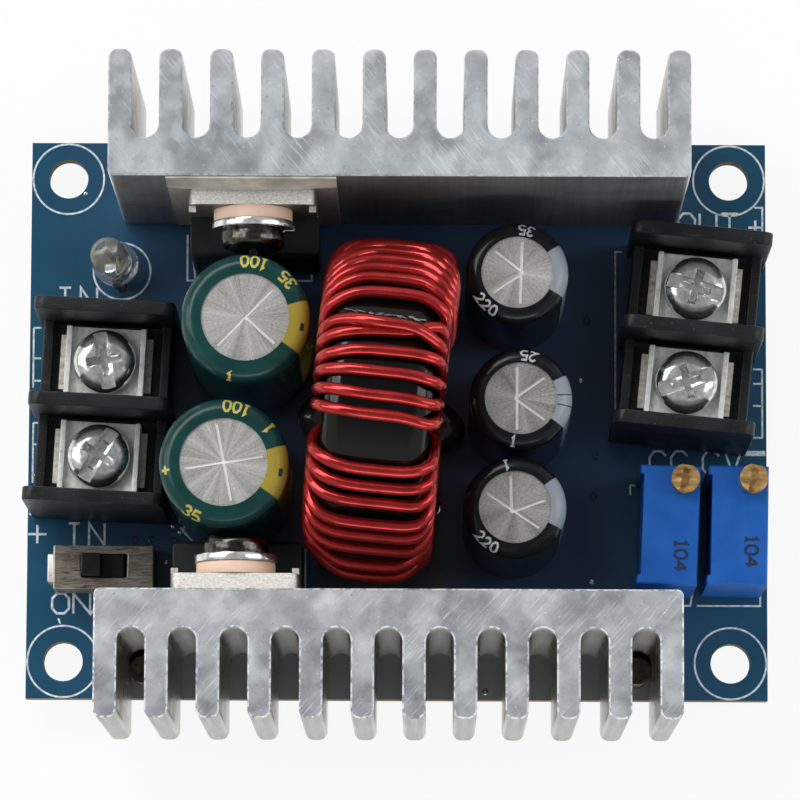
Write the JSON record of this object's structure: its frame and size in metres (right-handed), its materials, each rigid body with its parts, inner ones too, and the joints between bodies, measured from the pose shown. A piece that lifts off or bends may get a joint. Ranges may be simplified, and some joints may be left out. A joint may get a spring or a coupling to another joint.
{
  "type": "buck converter module",
  "caption": "Step-down voltage converter board with finned heat sinks, a toroidal inductor, upright capacitors, screw terminals, trimmers and a slide switch.",
  "frame": {"origin": "centre of the four mounting holes, on the board's underside", "axes": "+X along the board from the input terminal to the output terminal, +Y towards the heat sink of the transistor, +Z out of the component side"},
  "size_m": [0.06, 0.0522, 0.0303],
  "materials": {
    "circuit_board": "glossy blue solder mask with white print",
    "heatsink": "bare extruded, sawn ends",
    "tinned": "tin plated",
    "pad": "matt silicone sheet",
    "package_black": "matt moulded epoxy",
    "plated_steel": "bright nickel plate",
    "bush": "matt nylon",
    "terminal_black": "matt, slightly dusty",
    "contact": "tin plated brass",
    "can": "brushed can top",
    "sleeve_black": "glossy shrink sleeve with a grey stripe",
    "sleeve_green": "glossy shrink sleeve with a yellow stripe",
    "bung": "matt",
    "core": "glossy black coat",
    "winding": "red enamel on copper",
    "adhesive": "glossy set adhesive",
    "lens": "clear moulded resin",
    "switch_frame": "tinned sheet",
    "switch_black": "matt",
    "switch_base": "brown laminate",
    "trimmer_blue": "satin blue",
    "trimmer_screw": "bare brass",
    "chip_black": "matt",
    "chip_tan": "fired ceramic",
    "chip_dark": "glazed top",
    "solder": "bright solder"
  },
  "bodies": {
    "module": {"amplifier_chip": "chip_black", "capacitor_bungs": "bung", "capacitor_leads": "tinned", "chip_capacitors": "chip_tan", "chip_resistors": "chip_dark", "circuit_board": "circuit_board", "control_chip": "chip_black", "current_trimmer_body": "trimmer_blue", "heatsink_lower": "heatsink", "heatsink_pins": "tinned", "heatsink_upper": "heatsink", "inductor_adhesive": "adhesive", "inductor_core": "core", "inductor_winding": "winding", "input_capacitor_lower_can": "can", "input_capacitor_lower_sleeve": "sleeve_green", "input_capacitor_upper_can": "can", "input_capacitor_upper_sleeve": "sleeve_green", "input_contact_plates": "contact", "input_terminal_housing": "terminal_black", "insulating_bushes": "bush", "insulating_pad_lower": "pad", "insulating_pad_upper": "pad", "lamp_leads": "tinned", "lamp_lens": "lens", "output_capacitor_lower_can": "can", "output_capacitor_lower_sleeve": "sleeve_black", "output_capacitor_middle_can": "can", "output_capacitor_middle_sleeve": "sleeve_black", "output_capacitor_upper_can": "can", "output_capacitor_upper_sleeve": "sleeve_black", "output_contact_plates": "contact", "output_terminal_housing": "terminal_black", "package_screws": "plated_steel", "rectifier_body": "package_black", "rectifier_leads": "tinned", "rectifier_tab": "tinned", "shunt_resistors": "chip_dark", "solder_joints": "solder", "spring_washers": "plated_steel", "switch_base": "switch_base", "switch_frame": "switch_frame", "switch_pins": "tinned", "transistor_body": "package_black", "transistor_leads": "tinned", "transistor_tab": "tinned", "trimmer_pins": "tinned", "voltage_trimmer_body": "trimmer_blue"},
    "input_clamp_upper": {"input_clamp_upper": "plated_steel"},
    "input_screw_upper": {"input_screw_upper": "plated_steel"},
    "input_clamp_lower": {"input_clamp_lower": "plated_steel"},
    "input_screw_lower": {"input_screw_lower": "plated_steel"},
    "output_clamp_upper": {"output_clamp_upper": "plated_steel"},
    "output_screw_upper": {"output_screw_upper": "plated_steel"},
    "output_clamp_lower": {"output_clamp_lower": "plated_steel"},
    "output_screw_lower": {"output_screw_lower": "plated_steel"},
    "current_trimmer_screw": {"current_trimmer_screw": "trimmer_screw"},
    "voltage_trimmer_screw": {"voltage_trimmer_screw": "trimmer_screw"},
    "slider": {"switch_slider": "switch_black", "switch_contact": "contact"}
  },
  "joints": [
    {"name": "input_clamp_upper_lift", "type": "slide", "parent": "module", "child": "input_clamp_upper", "axis": [0, 0, 1], "range_m": [0, 0.0021]},
    {"name": "input_screw_upper_turn", "type": "hinge", "parent": "input_clamp_upper", "child": "input_screw_upper", "pos_m": [-0.02339, 0.00355, 0.00904], "axis": [0, 0, 1], "range_deg": [0, 1260]},
    {"name": "input_clamp_lower_lift", "type": "slide", "parent": "module", "child": "input_clamp_lower", "axis": [0, 0, 1], "range_m": [0, 0.0021]},
    {"name": "input_screw_lower_turn", "type": "hinge", "parent": "input_clamp_lower", "child": "input_screw_lower", "pos_m": [-0.02379, -0.00405, 0.00904], "axis": [0, 0, 1], "range_deg": [0, 1260]},
    {"name": "output_clamp_upper_lift", "type": "slide", "parent": "module", "child": "output_clamp_upper", "axis": [0, 0, 1], "range_m": [0, 0.0021]},
    {"name": "output_screw_upper_turn", "type": "hinge", "parent": "output_clamp_upper", "child": "output_screw_upper", "pos_m": [0.02387, 0.00959, 0.00904], "axis": [0, 0, 1], "range_deg": [0, 1260]},
    {"name": "output_clamp_lower_lift", "type": "slide", "parent": "module", "child": "output_clamp_lower", "axis": [0, 0, 1], "range_m": [0, 0.0021]},
    {"name": "output_screw_lower_turn", "type": "hinge", "parent": "output_clamp_lower", "child": "output_screw_lower", "pos_m": [0.02313, 0.00201, 0.00904], "axis": [0, 0, 1], "range_deg": [0, 1260]},
    {"name": "current_trimmer_screw_turn", "type": "hinge", "parent": "module", "child": "current_trimmer_screw", "pos_m": [0.02292, -0.00605, 0.0116], "axis": [0, 0, 1], "continuous": true},
    {"name": "voltage_trimmer_screw_turn", "type": "hinge", "parent": "module", "child": "voltage_trimmer_screw", "pos_m": [0.02833, -0.00602, 0.0116], "axis": [0, 0, 1], "continuous": true},
    {"name": "slider_travel", "type": "slide", "parent": "module", "child": "slider", "axis": [1, 0, 0], "range_m": [0, 0.002]}
  ],
  "couplings": [
    {"joint": "input_screw_upper_turn", "follows": "input_clamp_upper_lift", "rad_per_m": 10472},
    {"joint": "input_screw_lower_turn", "follows": "input_clamp_lower_lift", "rad_per_m": 10472},
    {"joint": "output_screw_upper_turn", "follows": "output_clamp_upper_lift", "rad_per_m": 10472},
    {"joint": "output_screw_lower_turn", "follows": "output_clamp_lower_lift", "rad_per_m": 10472}
  ]
}
